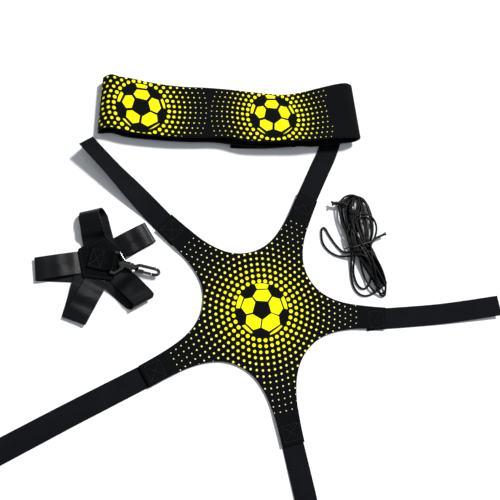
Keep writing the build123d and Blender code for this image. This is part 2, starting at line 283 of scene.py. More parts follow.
def printed_neoprene(name, balls, scale, last_ring, twist, inset=0.0, tall=1.0,
                     print_end=NO_PRINT_END):
    """Neoprene faced with black jersey, printed in yellow on its top side. balls is a list of
    (centre u, centre v) in cloth millimetres, inset makes its patches smaller all round, tall stretches
    the print across the cloth, and nothing is printed past u = print_end."""
    finish = Finish(name, Specular_IOR_Level=0.05, Sheen_Weight=0.015, Sheen_Roughness=0.5)
    u, v, side = finish.cloth()
    x = y = nearest = None
    for centre_u, centre_v in balls:
        this_x, this_y = (u - centre_u) * (1 / scale), (v - centre_v) * (1 / (scale * tall))
        distance = this_x * this_x + this_y * this_y
        if nearest is None:
            x, y, nearest = this_x, this_y, distance
            continue
        closer = distance.op("LESS_THAN", nearest)
        x = x + (this_x - x) * closer
        y = y + (this_y - y) * closer
        nearest = nearest.op("MINIMUM", distance)
    ink, radius = ball_print(x, y, last_ring, twist, inset)
    ink = ink.op("MINIMUM", print_end - u)
    on_top = side.above(0.5, 0.2)
    mask = ink.above(0.0, INK_EDGE) * on_top
    pale = (radius - DOTS_PALE_FROM).op("MULTIPLY", 1 / DOTS_PALE_OVER, clamp=True)
    yellow = finish.mix(pale, PRINT_YELLOW, PRINT_PALE)
    knit = u.wave(1.05) * v.wave(1.3)
    fuzz = finish.noise(900.0)
    cloudy = finish.noise(35.0)
    black = finish.mix(cloudy, NEOPRENE_BLACK, NEOPRENE_WORN)
    finish.set(Base_Color=finish.mix(mask, black, yellow),
               Roughness=0.86 - mask * 0.22 - fuzz * 0.08)
    finish.bump(knit * 0.35 + fuzz * 0.8 + mask * 0.25, 0.35, 0.00015)
    return finish.material


def webbing(name, rib, column, dark, light, strength, roughness, **surface):
    """Narrow woven tape: ribs across it, stepped by half a rib from one warp column to the next."""
    finish = Finish(name, **surface)
    u, v, _ = finish.cloth()
    stagger = (v * (1 / column)).op("FLOOR").op("MODULO", 2.0).op("ABSOLUTE") * (rib / 2)
    ribs = (u + stagger).wave(rib)
    columns = v.wave(column)
    fuzz = finish.noise(700.0)
    worn = finish.noise(60.0, 4.0)
    shade = (ribs * 0.25 + worn * 0.9).op("MULTIPLY", 1.0, clamp=True)
    finish.set(Base_Color=finish.mix(shade, dark, light), Roughness=roughness + fuzz * 0.12)
    finish.bump(ribs * 0.6 + columns * 0.25 + fuzz * 0.5, strength, 0.0003)
    return finish.material


def pile(name, colour, light, scale, strength, roughness):
    """Hook or loop tape: a dense, even nap."""
    finish = Finish(name, Specular_IOR_Level=0.2, Sheen_Weight=0.1)
    nap = finish.noise(scale, 2.0)
    cell = finish.tree.nodes.new("ShaderNodeTexVoronoi")
    cell.inputs["Scale"].default_value = scale
    finish.tree.links.new(finish.place(), cell.inputs["Vector"])
    dots = Field(finish.tree, cell.outputs["Distance"])
    finish.set(Base_Color=finish.mix(nap, colour, light), Roughness=roughness + nap * 0.1)
    finish.bump(dots + nap, strength, 0.0004)
    return finish.material


def plain_fine(name, dark, light, scale, strength, roughness, spread, **surface):
    """A smooth hard or rubbery surface with fine grain and slight unevenness."""
    finish = Finish(name, **surface)
    grain = finish.noise(scale, 4.0)
    blotch = finish.noise(scale / 12, 2.0)
    finish.set(Base_Color=finish.mix(blotch, dark, light), Roughness=roughness + grain * spread)
    finish.bump(grain, strength, 0.0001)
    return finish.material


PANEL_MATERIAL = printed_neoprene("neoprene_print", [(-0.55, -0.4)], scale=1.0, last_ring=114.7, twist=0.11)
STRAP_MATERIAL = webbing(
    "strap_webbing", rib=1.5, column=2.2, dark=(0.0018, 0.0021, 0.0030), light=(0.0058, 0.0066, 0.0090),
    strength=0.55, roughness=0.60, Specular_IOR_Level=0.05)
SATIN_MATERIAL = webbing(
    "satin_webbing", rib=0.7, column=1.1, dark=(0.0018, 0.0019, 0.0025), light=(0.0045, 0.0046, 0.0058),
    strength=0.15, roughness=0.27, Specular_IOR_Level=0.16, Anisotropic=0.4)
HOOK_MATERIAL = pile("hook_tape", (0.003, 0.003, 0.0036), (0.008, 0.008, 0.009),
                     scale=1400.0, strength=0.6, roughness=0.55)
LOOP_MATERIAL = pile("loop_tape", (0.006, 0.006, 0.007), (0.016, 0.016, 0.018),
                     scale=900.0, strength=0.9, roughness=0.9)
PATCH_MATERIAL = webbing(
    "patch_fabric", rib=0.9, column=0.9, dark=(0.0008, 0.0011, 0.0012), light=(0.0028, 0.0034, 0.0036),
    strength=0.4, roughness=0.66, Specular_IOR_Level=0.045)
METAL_MATERIAL = plain_fine(
    "black_metal", (0.060, 0.058, 0.056), (0.110, 0.106, 0.100), scale=900.0, strength=0.05,
    roughness=0.15, spread=0.08, Metallic=1.0, Coat_Weight=0.3, Coat_Roughness=0.15)
STEEL_MATERIAL = plain_fine(
    "spring_steel", (0.30, 0.30, 0.31), (0.45, 0.45, 0.46), scale=1500.0, strength=0.05,
    roughness=0.22, spread=0.1, Metallic=1.0)
CORD_MATERIAL = plain_fine(
    "elastic_cord", (0.0012, 0.0012, 0.0015), (0.0030, 0.0030, 0.0036), scale=1800.0, strength=0.25,
    roughness=0.40, spread=0.16, Specular_IOR_Level=0.14)
BEAD_MATERIAL = plain_fine(
    "bead_plastic", (0.002, 0.002, 0.0025), (0.004, 0.004, 0.0045), scale=500.0, strength=0.1,
    roughness=0.20, spread=0.1, Specular_IOR_Level=0.45)
TIE_MATERIAL = plain_fine(
    "twist_tie", (0.0025, 0.0025, 0.003), (0.006, 0.006, 0.007), scale=1100.0, strength=0.3,
    roughness=0.42, spread=0.15, Specular_IOR_Level=0.3)
THREAD_MATERIAL = plain_fine(
    "thread", (0.0035, 0.0036, 0.0042), (0.010, 0.010, 0.012), scale=2500.0, strength=0.4,
    roughness=0.5, spread=0.15, Specular_IOR_Level=0.25, Sheen_Weight=0.05)
FLOOR_MATERIAL = plain_fine("floor", (0.90, 0.90, 0.90), (0.92, 0.92, 0.92), scale=20.0, strength=0.0,
                            roughness=0.9, spread=0.0, Specular_IOR_Level=0.0)


# ---- mesh helpers ----
def polar(radius, angle, centre=(0.0, 0.0)):
    """A plan point at a distance and an angle in degrees from a centre."""
    return Vector((centre[0] + radius * cos(radians(angle)), centre[1] + radius * sin(radians(angle))))


def raised(plan, z):
    """A plan point at a height."""
    return Vector((plan.x, plan.y, z))


def smooth(t):
    """0 below 0, 1 above 1, and an even rise between."""
    t = min(max(t, 0.0), 1.0)
    return t * t * (3 - 2 * t)


def build(name, vertices, faces, material, cloth=None):
    """A smooth mesh object from millimetre points. cloth is its (u, v, side) at each vertex."""
    mesh = bpy.data.meshes.new(name)
    mesh.from_pydata([Vector(v) * MM for v in vertices], [], faces)
    mesh.polygons.foreach_set("use_smooth", [True] * len(mesh.polygons))
    if cloth:
        attribute = mesh.attributes.new("cloth", "FLOAT_VECTOR", "POINT")
        attribute.data.foreach_set("vector", [x for row in cloth for x in row])
    mesh.materials.append(material)
    piece = bpy.data.objects.new(name, mesh)
    scene.collection.objects.link(piece)
    return piece


def finish_piece(piece, body, slot, *replaced):
    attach(piece, body)
    if replaced:
        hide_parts(*replaced)
    return piece


RIM_STEPS = 3


def rim_profile(thick, edge):
    """(share outwards, height) pairs down a rounded rim, without the two faces' own points."""
    top = [(sin(a), thick / 2 - edge + edge * cos(a))
           for a in (pi / 2 * (k + 1) / RIM_STEPS for k in range(RIM_STEPS))]
    return top + [(out, -height) for out, height in reversed(top)]


def rim_faces(chains, flipped=False):
    """Faces between neighbouring chains of vertices down a closed rim."""
    faces = []
    for a, b in zip(chains, chains[1:] + chains[:1]):
        for k in range(len(a) - 1):
            faces.append([a[k], a[k + 1], b[k + 1], b[k]] if flipped else [a[k], b[k], b[k + 1], a[k + 1]])
    return faces


def cloth_piece(name, point, us, vs, thick, edge, material):
    """A closed piece of even thickness. point(u, v) is its middle surface in millimetres, u along it
    and v to its left, seen from its top side. Its rim is rounded by edge."""
    grid = [[Vector(point(u, v)) for v in vs] for u in us]
    rows, columns = len(us), len(vs)

    def slope(i, j, di, dj):
        low = grid[max(i - di, 0)][max(j - dj, 0)]
        high = grid[min(i + di, rows - 1)][min(j + dj, columns - 1)]
        return (high - low).normalized()

    vertices, cloth, faces = [], [], []

    def put(place, i, j, side):
        vertices.append(place)
        cloth.append((us[i], vs[j], side))
        return len(vertices) - 1

    def outward(i, j):
        away = Vector((0, 0, 0))
        if i == 0:
            away -= slope(i, j, 1, 0)
        if i == rows - 1:
            away += slope(i, j, 1, 0)
        if j == 0:
            away -= slope(i, j, 0, 1)
        if j == columns - 1:
            away += slope(i, j, 0, 1)
        return away.normalized() if away.length > 0 else away

    normal = [[slope(i, j, 1, 0).cross(slope(i, j, 0, 1)).normalized() for j in range(columns)]
              for i in range(rows)]
    sides = {}
    for side in (1, -1):
        for i in range(rows):
            for j in range(columns):
                place = grid[i][j] - outward(i, j) * edge + normal[i][j] * (side * thick / 2)
                sides[side, i, j] = put(place, i, j, side)
    for i in range(rows - 1):
        for j in range(columns - 1):
            corners = [(i, j), (i + 1, j), (i + 1, j + 1), (i, j + 1)]
            faces.append([sides[1, a, b] for a, b in corners])
            faces.append([sides[-1, a, b] for a, b in reversed(corners)])
    around = ([(0, j) for j in range(columns)] + [(i, columns - 1) for i in range(1, rows)]
              + [(rows - 1, j) for j in range(columns - 2, -1, -1)]
              + [(i, 0) for i in range(rows - 2, 0, -1)])
    chains = []
    for i, j in around:
        away = outward(i, j)
        chain = [sides[1, i, j]]
        for share, height in rim_profile(thick, edge):
            place = grid[i][j] + away * (edge * (share - 1)) + normal[i][j] * height
            chain.append(put(place, i, j, 0.0))
        chain.append(sides[-1, i, j])
        chains.append(chain)
    return build(name, vertices, faces + rim_faces(chains), material, cloth)


def slab(name, outline, centre, low, high, edge, rings, material):
    """A closed piece inside an anticlockwise outline, seen from above, with a rounded rim. low(x, y)
    and high(x, y) are the heights of its two faces."""
    count = len(outline)
    outline = [Vector((p[0], p[1])) for p in outline]
    inset = []
    outs = []
    for k in range(count):
        before = (outline[k] - outline[k - 1]).normalized()
        after = (outline[(k + 1) % count] - outline[k]).normalized()
        away = Vector((before.y + after.y, -before.x - after.x)).normalized()
        mitre = 1 / max(away.dot(Vector((after.y, -after.x))), 0.6)
        outs.append(away * mitre)
        inset.append(outline[k] - away * mitre * edge)
    middle = Vector(centre[:2])
    vertices, cloth, faces = [], [], []

    def put(plan, z, side):
        vertices.append((plan.x, plan.y, z))
        cloth.append((plan.x, plan.y, side))
        return len(vertices) - 1

    layers = []
    for side, height in ((1, high), (-1, low)):
        hub = put(middle, height(middle.x, middle.y), side)
        loops = []
        for ring in range(1, rings + 1):
            share = ring / rings
            plans = [middle + (p - middle) * share for p in inset]
            loops.append([put(p, height(p.x, p.y), side) for p in plans])
        for k in range(count):
            after = (k + 1) % count
            fan = [hub, loops[0][k], loops[0][after]]
            faces.append(fan if side > 0 else fan[::-1])
            for inner, outer in zip(loops, loops[1:]):
                quad = [inner[k], outer[k], outer[after], inner[after]]
                faces.append(quad if side > 0 else quad[::-1])
        layers.append(loops[-1])
    chains = []
    for k in range(count):
        top, bottom = high(*inset[k]), low(*inset[k])
        thick = top - bottom
        chain = [layers[0][k]]
        for share, height in rim_profile(thick, min(edge, thick / 2)):
            chain.append(put(inset[k] + outs[k] * edge * share, (top + bottom) / 2 + height, 0.0))
        chain.append(layers[1][k])
        chains.append(chain)
    return build(name, vertices, faces + rim_faces(chains, True), material, cloth)


def chord_knots(points):
    """How far along its chords each point of a line is."""
    knots = [0.0]
    for a, b in zip(points, points[1:]):
        knots.append(knots[-1] + (b - a).length)
    return knots


def curve_through(points, knots=None):
    """A function from 0 to 1 along a smooth line through points, and the line's chord length."""
    points = [Vector(p) for p in points]
    knots = knots or chord_knots(points)
    slopes = []
    for k in range(len(points)):
        low, high = max(k - 1, 0), min(k + 1, len(points) - 1)
        slopes.append((points[high] - points[low]) / (knots[high] - knots[low]))

    def at(t):
        place = min(max(t, 0.0), 1.0) * knots[-1]
        k = 0
        while k < len(points) - 2 and place > knots[k + 1]:
            k += 1
        span = knots[k + 1] - knots[k]
        s = (place - knots[k]) / span
        return (points[k] * (2 * s ** 3 - 3 * s ** 2 + 1) + slopes[k] * span * (s ** 3 - 2 * s ** 2 + s)
                + points[k + 1] * (3 * s ** 2 - 2 * s ** 3) + slopes[k + 1] * span * (s ** 3 - s ** 2))

    return at, knots[-1]


def by_length(at, count=400):
    """The same line by distance along it: a function of millimetres, and its length."""
    lengths = chord_knots([at(k / count) for k in range(count + 1)])

    def share(distance):
        distance = min(max(distance, 0.0), lengths[-1])
        low, high = 0, count
        while high - low > 1:
            middle = (low + high) // 2
            if lengths[middle] <= distance:
                low = middle
            else:
                high = middle
        return (low + (distance - lengths[low]) / max(lengths[high] - lengths[low], 1e-9)) / count

    return share, lengths[-1]


def measured_line(points):
    """A smooth line through points: its function from 0 to 1, the share of it at a distance along it,
    and its length."""
    at, _ = curve_through(points)
    return at, *by_length(at)


def evenly(start, end, step):
    """Numbers from start to end, about a step apart."""
    count = max(1, round(abs(end - start) / step))
    return [start + (end - start) * k / count for k in range(count + 1)]


def across(width, edge, count):
    """Places across a tape of that width, with one close to each side for its rounded rim."""
    half = width / 2
    inner = half - 2.2 * edge
    return [-half] + [inner * (2 * k / count - 1) for k in range(count + 1)] + [half]


def along_band(total, rim, first, step):
    """Places along a band, about a step apart from first on, with one a rim's width from each end."""
    return [0.0, rim, *evenly(first, total - first, step), total - rim, total]


def ring_faces(first, rings, sides, closed=False, flipped=False):
    """Faces of a sweep: rings of vertices, each joined to the next. Its ends are capped, or the last
    ring is joined to the first one where closed."""
    faces = []
    for ring in range(rings if closed else rings - 1):
        low, high = first + ring * sides, first + (ring + 1) % rings * sides
        for n in range(sides):
            m = (n + 1) % sides
            faces.append([low + n, high + n, high + m, low + m])
    if not closed:
        last = first + (rings - 1) * sides
        faces.append([first + n for n in range(sides)])
        faces.append([last + n for n in reversed(range(sides))])
    return [[face[0], *face[:0:-1]] for face in faces] if flipped else faces


# a stitch: (share of its length, share of its thread's radius, lift in radii) from end to end
STITCH_STATIONS = ((0.0, 0.30, -0.9), (0.15, 0.8, -0.1), (0.5, 1.0, 0.35), (0.85, 0.8, -0.1),
                   (1.0, 0.30, -0.9))
STITCH_SIDES = 6
STITCH_LENGTH = 2.5
STITCH_GAP = 0.7


def stitching(name, lines, radius=0.27):
    """Lines of sewn thread: each stitch is a small bar of thread that dips in at both ends."""
    vertices, faces = [], []
    for line in lines:
        at, share, total = measured_line(line)
        count = max(1, round(total / (STITCH_LENGTH + STITCH_GAP)))
        for k in range(count):
            start, end = k * total / count + STITCH_GAP / 2, (k + 1) * total / count - STITCH_GAP / 2
            along = (at(share(end)) - at(share(start))).normalized()
            side = along.cross(Vector((0, 0, 1))).normalized()
            up = side.cross(along)
            faces += ring_faces(len(vertices), len(STITCH_STATIONS), STITCH_SIDES, flipped=True)
            for s, size, lift in STITCH_STATIONS:
                centre = at(share(start + (end - start) * s)) + up * (lift * radius)
                for n in range(STITCH_SIDES):
                    turn = tau * n / STITCH_SIDES
                    vertices.append(centre + (side * cos(turn) + up * sin(turn)) * radius * size)
    return build(name, vertices, faces, THREAD_MATERIAL)


# the two rings that round a rod's end: (reach past the line in radii, share of its radius)
ROD_END = ((0.9, 0.45), (0.5, 0.85))


def tube(name, points, radius, material, step, sides, flat=1.0):
    """A rod along a line through points, as a mesh with rounded ends. flat squeezes its section."""
    at, total = curve_through(points)
    share, _ = by_length(at)
    places = [at(share(d)) for d in evenly(0.0, total, step)]
    rings = []
    for k, place in enumerate(places):
        ahead = (places[min(k + 1, len(places) - 1)] - places[max(k - 1, 0)]).normalized()
        side = ahead.cross(Vector((0, 0, 1)))
        side = side.normalized() if side.length > 0.05 else Vector((1, 0, 0))
        rings.append((place, side, side.cross(ahead), ahead))
    (start, *start_frame, start_ahead), (end, *end_frame, end_ahead) = rings[0], rings[-1]
    stations = [(start - start_ahead * radius * reach, *start_frame, size) for reach, size in ROD_END]
    stations += [(place, side, up, 1.0) for place, side, up, _ in rings]
    stations += [(end + end_ahead * radius * reach, *end_frame, size) for reach, size in reversed(ROD_END)]
    vertices = []
    for centre, side, up, size in stations:
        for n in range(sides):
            turn = tau * n / sides
            vertices.append(centre + (side * cos(turn) + up * sin(turn) * flat) * radius * size)
    return build(name, vertices, ring_faces(0, len(stations), sides), material)


def join(name, pieces):
    """One object from several, for small parts that stay together."""
    for piece in bpy.context.selected_objects:
        piece.select_set(False)
    for piece in pieces:
        piece.select_set(True)
    bpy.context.view_layer.objects.active = pieces[0]
    bpy.ops.object.join()
    pieces[0].name = name
    return pieces[0]


# ---- elastic cord: one spline through the bead, the coiled hank and its loose loops ----
CORD = 2.5
WAIST = Vector((125.3, 83.8))
WAIST_ANGLE = 20.0
BUNDLE_AHEAD = Vector((0.429, -0.903))
BUNDLE_ACROSS = Vector((0.903, 0.429))
BUNDLE_LENGTH = 50.0
TURNS = 9
TURN_ORDER = (3, 7, 0, 5, 2, 8, 1, 6, 4)
LAYERS = 3
LAYER_RISE = 2.45
COIL_SEED = 11

BEAD_TAIL = [
    (111.3, 135.5, 10.0), (111.3, 126.6, 10.2), (110.6, 117.5, 9.7), (111.2, 108.0, 9.4),
    (114.8, 98.0, 9.8), (120.4, 87.0, 10.2), (127.4, 76.2, 10.2), (134.8, 64.5, 9.8), (141.2, 52.5, 9.6),
    (147.4, 41.5, 9.4), (152.0, 33.0, 8.0), (152.2, 26.6, 5.6), (147.6, 23.8, 4.0), (142.8, 27.4, 4.2),
    (141.0, 35.5, 6.6), (139.5, 46.0, 9.2), (137.0, 58.0, 10.0), (134.5, 70.0, 10.0), (134.8, 79.0, 9.2),
]
# (x, y) of the outermost and the innermost strand at each place round the upper loop, with the share
# of the way from its right side to its left
UPPER_LOOP = [
    ((140.6, 95.5), (123.4, 96.0), 0.0), ((142.8, 107.0), (118.6, 107.0), 0.0),
    ((141.8, 121.0), (116.0, 119.0), 0.0), ((139.6, 138.2), (118.0, 131.0), 0.15),
    ((131.0, 151.0), (120.5, 137.0), 0.4), ((116.6, 153.8), (118.5, 137.5), 0.6),
    ((103.0, 147.0), (117.5, 131.5), 0.85), ((96.0, 133.5), (119.5, 120.5), 1.0),
    ((96.4, 118.5), (120.5, 109.0), 1.0), ((102.0, 104.0), (121.0, 98.5), 1.0),
]
# places down a leg of the lower bundle, and where its fold starts
LEG = (10.0, 22.0, 34.0, 44.0)
FOLD_START = 53.0
# (ahead, across) round a fold, in its own half widths: the corners of half an octagon
FOLD = [(0.0, 1.0), (0.414, 1.0), (1.0, 0.414), (1.0, -0.414), (0.414, -1.0), (0.0, -1.0)]
FOLD_HALF = 3.8
END_PITCH = 1.9
WAIST_OUTER = 13.2
WAIST_PITCH = 1.36
LOOSE_PART = [
    # the first small loop on top of the hank
    (135.5, 84.0, 7.3), (142.5, 95.0, 6.7), (145.2, 106.0, 6.3), (142.6, 115.5, 6.9), (136.6, 121.5, 7.2),
    (128.5, 123.6, 7.2), (120.5, 121.2, 7.2), (112.8, 114.5, 7.2), (106.4, 104.5, 7.2), (104.8, 94.0, 7.5),
    (108.0, 82.0, 7.2), (111.4, 70.5, 4.6), (110.6, 58.0, 1.8), (110.6, 45.5, 1.35), (112.4, 34.0, 1.35),
    (117.0, 25.5, 1.35), (124.2, 21.2, 1.35), (132.5, 21.8, 1.35), (140.5, 26.0, 1.5), (147.0, 31.0, 2.4),
    (151.5, 38.0, 5.4), (148.0, 50.0, 8.4), (140.8, 66.0, 9.0), (133.5, 82.0, 8.6),
    # the second small loop
    (137.0, 93.0, 8.1), (139.6, 103.0, 7.2), (138.2, 113.0, 7.3), (131.5, 119.4, 8.2), (123.5, 118.4, 8.4),
    (115.5, 112.0, 8.3), (110.6, 102.5, 8.0), (109.4, 92.5, 7.6), (113.6, 79.5, 7.3), (114.6, 67.0, 4.4),
    (113.6, 54.0, 1.8), (114.4, 45.0, 1.35), (117.4, 35.5, 1.35), (123.2, 29.6, 1.35), (130.0, 30.6, 1.35),
    (134.4, 37.5, 2.0), (135.6, 47.5, 4.4), (133.0, 59.0, 8.2), (127.0, 69.0, 9.8), (119.0, 70.6, 9.2),
    # the loose loop on the floor, to the left
    (110.5, 69.0, 5.6), (101.0, 68.0, 2.2), (90.5, 70.0, 1.35), (81.2, 76.0, 1.35), (75.4, 84.2, 1.35),
    (74.2, 94.0, 1.35), (74.8, 102.8, 1.35), (79.0, 104.0, 1.35), (83.4, 95.6, 1.35), (90.0, 85.6, 1.35),
    (97.0, 77.6, 1.35), (103.6, 72.6, 2.0), (112.5, 76.0, 5.4), (118.5, 77.5, 7.4),
    # down the bundle's left side, over the small loop and round the tiny end loop
    (120.6, 68.5, 6.6), (123.4, 56.5, 3.6), (127.6, 43.5, 1.6), (133.0, 32.5, 3.9), (139.0, 26.6, 3.7),
    (144.5, 26.4, 4.0), (147.6, 22.4, 2.6), (153.0, 21.4, 1.6), (154.4, 29.4, 2.4), (152.4, 40.0, 7.6),
    (147.4, 54.0, 9.6), (139.6, 69.0, 9.8), (129.4, 76.6, 9.8), (118.0, 75.4, 9.4), (109.6, 73.4, 6.8),
    (101.6, 73.0, 4.7),
]


def in_bundle(distance, offset, z):
    return raised(WAIST + BUNDLE_AHEAD * distance + BUNDLE_ACROSS * offset, z)


def in_waist(offset, z):
    return raised(WAIST + polar(offset, WAIST_ANGLE), z)


def hank_turns():
    """Control points of the coiled turns, up the right side, round the top and down the left, then
    round the fold at the lower end of the bundle. The turns are alike in size and lie side by side,
    so a turn that is outermost on the right is innermost on the left."""
    wobble = random.Random(COIL_SEED)
    points = []
    for turn, slot in enumerate(TURN_ORDER):
        inward = slot / (TURNS - 1)
        layer = slot % LAYERS
        low = 1.4 + LAYER_RISE * layer
        right = WAIST_OUTER - WAIST_PITCH * slot
        left = -WAIST_OUTER + WAIST_PITCH * (TURNS - 1 - slot)
        end_middle = END_PITCH * (1 - slot // LAYERS)
        reach = wobble.uniform(-5.0, 1.0)
        points.append(in_waist(right, low))
        for outer, inner, leftward in UPPER_LOOP:
            share = inward * (1 - leftward) + (1 - inward) * leftward
            x = outer[0] + (inner[0] - outer[0]) * share + wobble.uniform(-1.1, 1.1)
            y = outer[1] + (inner[1] - outer[1]) * share + wobble.uniform(-0.8, 0.8)
            crossing = 1 - abs(2 * leftward - 1)
            height = low + (1.4 + LAYER_RISE * (turn % LAYERS) - low) * crossing
            points.append((x, y, height + wobble.uniform(0.0, 0.4)))
        points.append(in_waist(left, low))
        for distance in LEG:
            t = distance / BUNDLE_LENGTH
            offset = left * (1 - t) + (end_middle - FOLD_HALF) * t
            points.append(in_bundle(distance, offset + wobble.uniform(-0.4, 0.4), low))
        for ahead, side in FOLD:
            distance = FOLD_START + reach + ahead * FOLD_HALF
            points.append(in_bundle(distance, end_middle - side * FOLD_HALF, low))
        for distance in reversed(LEG):
            t = distance / BUNDLE_LENGTH
            offset = right * (1 - t) + (end_middle + FOLD_HALF) * t
            points.append(in_bundle(distance, offset + wobble.uniform(-0.4, 0.4), low))
    return points


def nurbs(name, points, thick, material):
    """One open NURBS spline through the route's control points."""
    line = bpy.data.curves.new(name, "CURVE")
    line.dimensions = "3D"
    line.bevel_depth = thick / 2 * MM
    line.bevel_resolution = 5
    line.resolution_u = 10
    line.use_fill_caps = True
    spline = line.splines.new("NURBS")
    spline.points.add(len(points) - 1)
    for place, p in zip(spline.points, points):
        place.co = (*(Vector(p) * MM), 1.0)
    spline.order_u = 3
    spline.use_endpoint_u = True
    line.materials.append(material)
    piece = bpy.data.objects.new(name, line)
    scene.collection.objects.link(piece)
    return piece


cord_route = BEAD_TAIL + hank_turns() + LOOSE_PART
elastic_cord = nurbs("elastic_cord", cord_route, CORD, CORD_MATERIAL)
finish_piece(elastic_cord, "cord", "elastic_cord", "elastic_cord_hank")

# the bead, bored along Y
BEAD_CENTRE = (Vector(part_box("cord_bead")[0]) + Vector(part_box("cord_bead")[1])) / 2 / MM
BEAD_PROFILE = [(-6.0, 1.35), (-6.45, 1.75), (-6.2, 2.4), (-5.4, 3.05), (-4.0, 3.62), (-2.0, 3.95),
                (0.0, 4.0), (2.0, 3.9), (4.0, 3.45), (5.4, 2.8), (6.2, 2.15), (6.45, 1.7), (6.0, 1.35)]
BEAD_SIDES = 40


def revolved(name, profile, sides, centre, material):
    """A closed ring of the (y, radius) profile turned about Y."""
    vertices = [centre + Vector((radius * cos(tau * n / sides), y, radius * sin(tau * n / sides)))
                for y, radius in profile for n in range(sides)]
    return build(name, vertices, ring_faces(0, len(profile), sides, closed=True), material)


bead = revolved("cord_bead_moulded", BEAD_PROFILE, BEAD_SIDES, BEAD_CENTRE, BEAD_MATERIAL)
finish_piece(bead, "cord", "bead_plastic", "cord_bead")


# twist ties: a flat wire tie round the waist with a twisted tail, and one round the top left strands
def ring_line(centre, angle, half_width, low, high, corner):
    """Points of a rounded ring in the upright plane along a plan direction."""
    points = []
    for sx, sz, start in ((1, 1, 0), (-1, 1, 90), (-1, -1, 180), (1, -1, 270)):
        for step in (0, 30, 60, 90):
            turn = radians(start + step)
            u = sx * (half_width - corner) + corner * cos(turn)
            z = (high if sz > 0 else low) - sz * corner + corner * sin(turn)
            points.append(raised(Vector(centre) + polar(u, angle), z))
    return points + points[:1]


def twisted_pair(name, points, radius, turns):
    """Two wires twisted round each other along a line, with their ends apart."""
    at, _ = curve_through(points)
    pair = []
    for phase in (0.0, pi):
        strand = []
        for k in range(turns * 12 + 1):
            t = k / (turns * 12)
            here, there = at(t), at(min(t + 0.01, 1.0))
            ahead = (there - here).normalized() if t < 1 else (here - at(t - 0.01)).normalized()
            side = ahead.cross(Vector((0, 0, 1))).normalized()
            up = side.cross(ahead)
            turn = tau * turns * t + phase
            spread = radius * (0.95 + 0.9 * smooth((t - 0.86) / 0.14))
            strand.append(here + (side * cos(turn) + up * sin(turn)) * spread)
        pair.append(tube(f"{name}_{len(pair)}", strand, radius, TIE_MATERIAL, step=0.45, sides=8))
    return pair


waist_line = ring_line(WAIST, WAIST_ANGLE, half_width=15.6, low=0.75, high=9.2, corner=2.6)
waist_ring = tube("tie_ring", waist_line, 1.0, TIE_MATERIAL, step=0.8, sides=10, flat=0.5)
WAIST_TAIL = [(137.5, 88.6, 9.0), (142.0, 92.4, 8.0), (146.8, 94.8, 7.2), (151.6, 97.2, 7.2),
              (156.0, 99.4, 7.4)]
WAIST_STUB = [(110.6, 79.0, 8.6), (107.4, 79.6, 7.6), (104.6, 78.4, 6.4), (101.8, 77.0, 5.4)]
tie_waist = join("twist_tie_waist_wire", [waist_ring] + twisted_pair("waist_tail", WAIST_TAIL, 0.85, 5)
                 + twisted_pair("waist_stub", WAIST_STUB, 0.5, 3))
finish_piece(tie_waist, "cord", "twist_tie", "twist_tie_waist")

top_line = ring_line((101.8, 132.6), 5.0, half_width=6.4, low=0.55, high=7.4, corner=2.2)
top_ring = tube("top_ring", top_line, 0.95, TIE_MATERIAL, step=0.8, sides=10, flat=0.5)
TOP_TAIL = [(104.0, 134.0, 8.0), (99.0, 134.2, 8.4), (94.4, 134.0, 8.0), (90.6, 134.0, 7.6),
            (87.2, 133.6, 7.4)]
tie_top = join("twist_tie_top_wire", [top_ring] + twisted_pair("top_tail", TOP_TAIL, 1.2, 3))
finish_piece(tie_top, "cord", "twist_tie", "twist_tie_top")


# ---- harness panel ----
PANEL_THICK = 3.0
ARM_ANGLES = [140.0, 67.8, -2.0, -77.0, -150.0]
TIP_RADIUS = 152.0
TIP_HALF_WIDTH = 13.0
BAY_RADIUS = 69.4
ARM_PULL = 46.0
BAY_PULL = 31.0
STRAP_ANGLES = [136.0, 65.6, 7.2, -76.9, -151.9]
STRAP_LENGTHS = [124.0, 155.0, 152.0, 155.0, 163.0]
SEWN_OVERLAP = 26.0
HINGE_GAP = 3.2
STRAP_THICK = 1.4
STRAP_WIDTH = 25.0
STRAP_EDGE = 0.55
LYING = 0.72
tips = [polar(TIP_RADIUS, angle) for angle in ARM_ANGLES]
folds = [polar(HINGE_GAP, angle, tip) for angle, tip in zip(STRAP_ANGLES, tips)]


def bezier(a, b, c, d, count):
    return [a * (1 - t) ** 3 + b * 3 * t * (1 - t) ** 2 + c * 3 * t * t * (1 - t) + d * t ** 3
            for t in (k / count for k in range(count))]


def star_outline():
    """Anticlockwise outline of the star: for each arm its tip edge, then the round bay after it."""
    outline = []
    order = list(reversed(range(5)))
    for index in order:
        following = (index - 1) % 5
        angle, after = ARM_ANGLES[index], ARM_ANGLES[following]
        if after < angle:
            after += 360
        bay_angle = (angle + after) / 2
        right = polar(TIP_HALF_WIDTH, angle - 90, tips[index])
        left = polar(TIP_HALF_WIDTH, angle + 90, tips[index])
        next_right = polar(TIP_HALF_WIDTH, after - 90, tips[following])
        bay = polar(BAY_RADIUS, bay_angle)
        outline += [right.lerp(left, k / 10) for k in range(10)]
        outline += bezier(left, polar(ARM_PULL, angle + 180, left), polar(BAY_PULL, bay_angle - 90, bay),
                          bay, 42)
        outline += bezier(bay, polar(BAY_PULL, bay_angle + 90, bay),
                          polar(ARM_PULL, after + 180, next_right), next_right, 42)
    return outline


def arm_place(x, y, index):
    """(along, across) of a point from an arm's tip, along its strap."""
    offset = Vector((x, y)) - tips[index]
    ahead = polar(1.0, STRAP_ANGLES[index])
    return offset.dot(ahead), offset.dot(Vector((-ahead.y, ahead.x)))


def arm_rise(x, y):
    """How far the neoprene is lifted by the strap sewn under each arm."""
    rise = 0.0
    for index in range(5):
        along, side = arm_place(x, y, index)
        if abs(side) < 30:
            rise = max(rise, smooth((along + 46) / 18))
    return rise * (STRAP_THICK + 0.05)


